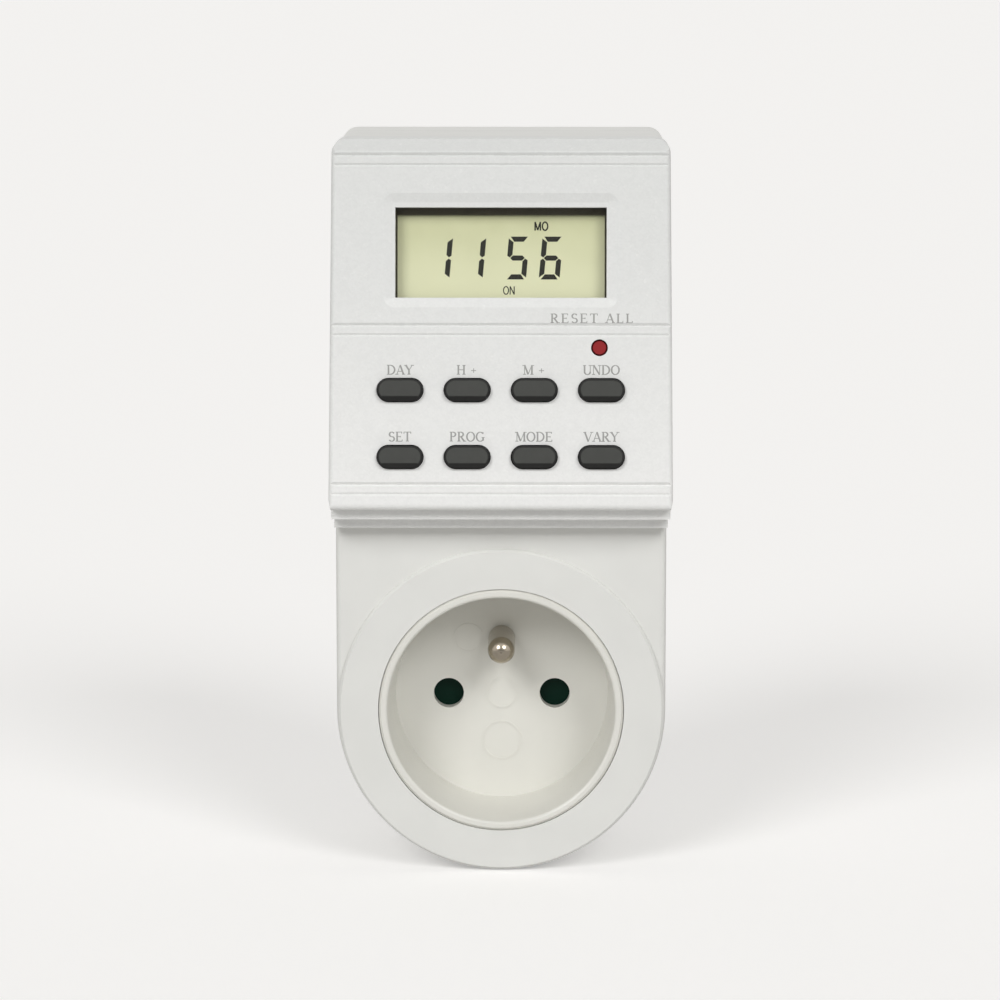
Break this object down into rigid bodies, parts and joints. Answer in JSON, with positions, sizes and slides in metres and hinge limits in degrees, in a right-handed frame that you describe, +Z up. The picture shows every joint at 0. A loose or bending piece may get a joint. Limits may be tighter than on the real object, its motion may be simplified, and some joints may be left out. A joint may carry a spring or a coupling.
{
  "type": "plug-in digital timer",
  "caption": "Plug-in digital week timer: tilted head with display, keys and reset button over a round earthed outlet with a pin.",
  "frame": {"origin": "middle of the plug's end face, between its two pins, where it meets the wall socket", "axes": "+X to the right of someone facing the display, +Y into the wall along the plug's pins, +Z up; the display and the outlet face -Y"},
  "size_m": [0.0594, 0.0843, 0.129],
  "materials": {
    "shell": "satin white-grey moulded plastic",
    "head": "fine pearl-grey plastic with a light sparkle",
    "insert": "smooth cream plastic",
    "key_plastic": "dark grey plastic keys",
    "reset_plastic": "red plastic",
    "shutter_plastic": "dark green plastic",
    "carrier_plastic": "pale heat-proof plastic",
    "nickel": "nickel-plated brass, polished",
    "contact_brass": "stamped brass",
    "clip_steel": "tinned spring steel",
    "screw_steel": "zinc-plated steel",
    "spring_steel": "bright spring wire",
    "board": "green coated laminate",
    "relay_black": "black plastic",
    "relay_iron": "bright-plated soft iron",
    "relay_winding": "varnished copper winding on a bobbin",
    "relay_copper": "copper alloy posts",
    "film_box": "yellow moulded box",
    "can": "sleeved aluminium can",
    "varistor_blue": "blue dipped disc",
    "fuse_body": "grey-green ceramic barrel",
    "diode_black": "black moulded barrels",
    "pane": "clear polycarbonate, polished",
    "frame_black": "black plastic",
    "lcd": "reflective yellow-green liquid crystal cell",
    "zebra": "striped silicone rubber",
    "epoxy": "black epoxy drop",
    "crystal_can": "drawn metal can",
    "cell": "nickel-plated cell",
    "ribbon": "grey ribbon",
    "mat_rubber": "dark silicone rubber",
    "switch_body": "black plastic switch",
    "wire_brown": "brown insulation",
    "wire_blue": "blue insulation",
    "wire_earth": "green and yellow insulation"
  },
  "bodies": {
    "housing": {"rear_cover": "shell", "front_cover": "shell", "display_fascia": "head", "socket_insert": "insert", "contact_carrier": "carrier_plastic", "line_pin": "nickel", "neutral_pin": "nickel", "ground_pin": "nickel", "live_contact": "contact_brass", "neutral_contact": "contact_brass", "earth_socket": "contact_brass", "side_earth_clips": "clip_steel", "cover_screws": "screw_steel", "fascia_screws": "screw_steel", "socket_screws": "screw_steel", "power_board_screws": "screw_steel", "display_board_screws": "screw_steel", "shutter_spring": "spring_steel", "power_board": "board", "display_board": "board", "relay_base": "relay_black", "relay_cover": "relay_black", "relay_yoke": "relay_iron", "relay_coil": "relay_winding", "relay_contacts": "relay_copper", "film_capacitor": "film_box", "electrolytic_capacitor": "can", "varistor": "varistor_blue", "fuse_resistor": "fuse_body", "rectifier_diodes": "diode_black", "lcd_window": "pane", "lcd_frame": "frame_black", "lcd_panel": "lcd", "zebra_strip": "zebra", "controller_blob": "epoxy", "timing_crystal": "crystal_can", "backup_battery": "cell", "battery_tabs": "cell", "ribbon_cable": "ribbon", "keypad_mat": "mat_rubber", "reset_switch": "switch_body", "live_lead": "wire_brown", "switched_lead": "wire_brown", "neutral_lead": "wire_blue", "neutral_link": "wire_blue", "earth_lead": "wire_earth"},
    "day_button": {"day_key": "key_plastic"},
    "hour_button": {"hour_key": "key_plastic"},
    "minute_button": {"minute_key": "key_plastic"},
    "recall_button": {"recall_key": "key_plastic"},
    "clock_button": {"clock_key": "key_plastic"},
    "program_button": {"program_key": "key_plastic"},
    "mode_button": {"mode_key": "key_plastic"},
    "random_button": {"random_key": "key_plastic"},
    "reset_push": {"reset_button": "reset_plastic"},
    "shutter": {"socket_shutter": "shutter_plastic"},
    "armature": {"relay_armature": "relay_iron"}
  },
  "joints": [
    {"name": "day_key_press", "type": "slide", "parent": "housing", "child": "day_button", "axis": [0, 0.9903, -0.1392], "range_m": [0, 0.0009], "stiffness_N_per_m": 1500, "springref_m": -0.0002},
    {"name": "hour_key_press", "type": "slide", "parent": "housing", "child": "hour_button", "axis": [0, 0.9903, -0.1392], "range_m": [0, 0.0009], "stiffness_N_per_m": 1500, "springref_m": -0.0002},
    {"name": "minute_key_press", "type": "slide", "parent": "housing", "child": "minute_button", "axis": [0, 0.9903, -0.1392], "range_m": [0, 0.0009], "stiffness_N_per_m": 1500, "springref_m": -0.0002},
    {"name": "recall_key_press", "type": "slide", "parent": "housing", "child": "recall_button", "axis": [0, 0.9903, -0.1392], "range_m": [0, 0.0009], "stiffness_N_per_m": 1500, "springref_m": -0.0002},
    {"name": "clock_key_press", "type": "slide", "parent": "housing", "child": "clock_button", "axis": [0, 0.9903, -0.1392], "range_m": [0, 0.0009], "stiffness_N_per_m": 1500, "springref_m": -0.0002},
    {"name": "program_key_press", "type": "slide", "parent": "housing", "child": "program_button", "axis": [0, 0.9903, -0.1392], "range_m": [0, 0.0009], "stiffness_N_per_m": 1500, "springref_m": -0.0002},
    {"name": "mode_key_press", "type": "slide", "parent": "housing", "child": "mode_button", "axis": [0, 0.9903, -0.1392], "range_m": [0, 0.0009], "stiffness_N_per_m": 1500, "springref_m": -0.0002},
    {"name": "random_key_press", "type": "slide", "parent": "housing", "child": "random_button", "axis": [0, 0.9903, -0.1392], "range_m": [0, 0.0009], "stiffness_N_per_m": 1500, "springref_m": -0.0002},
    {"name": "reset_press", "type": "slide", "parent": "housing", "child": "reset_push", "axis": [0, 0.9903, -0.1392], "range_m": [0, 0.0004], "stiffness_N_per_m": 2000, "springref_m": -0.0002},
    {"name": "shutter_slide", "type": "slide", "parent": "housing", "child": "shutter", "axis": [0, 0, -1], "range_m": [0, 0.0062], "stiffness_N_per_m": 150, "springref_m": -0.003, "deforming": ["shutter_spring"]},
    {"name": "armature_swing", "type": "hinge", "parent": "housing", "child": "armature", "pos_m": [-0.0115, -0.0388, 0.0757], "axis": [1, 0, 0], "range_deg": [0, 3], "stiffness_Nm_per_rad": 0.03, "springref_deg": -5.73}
  ]
}
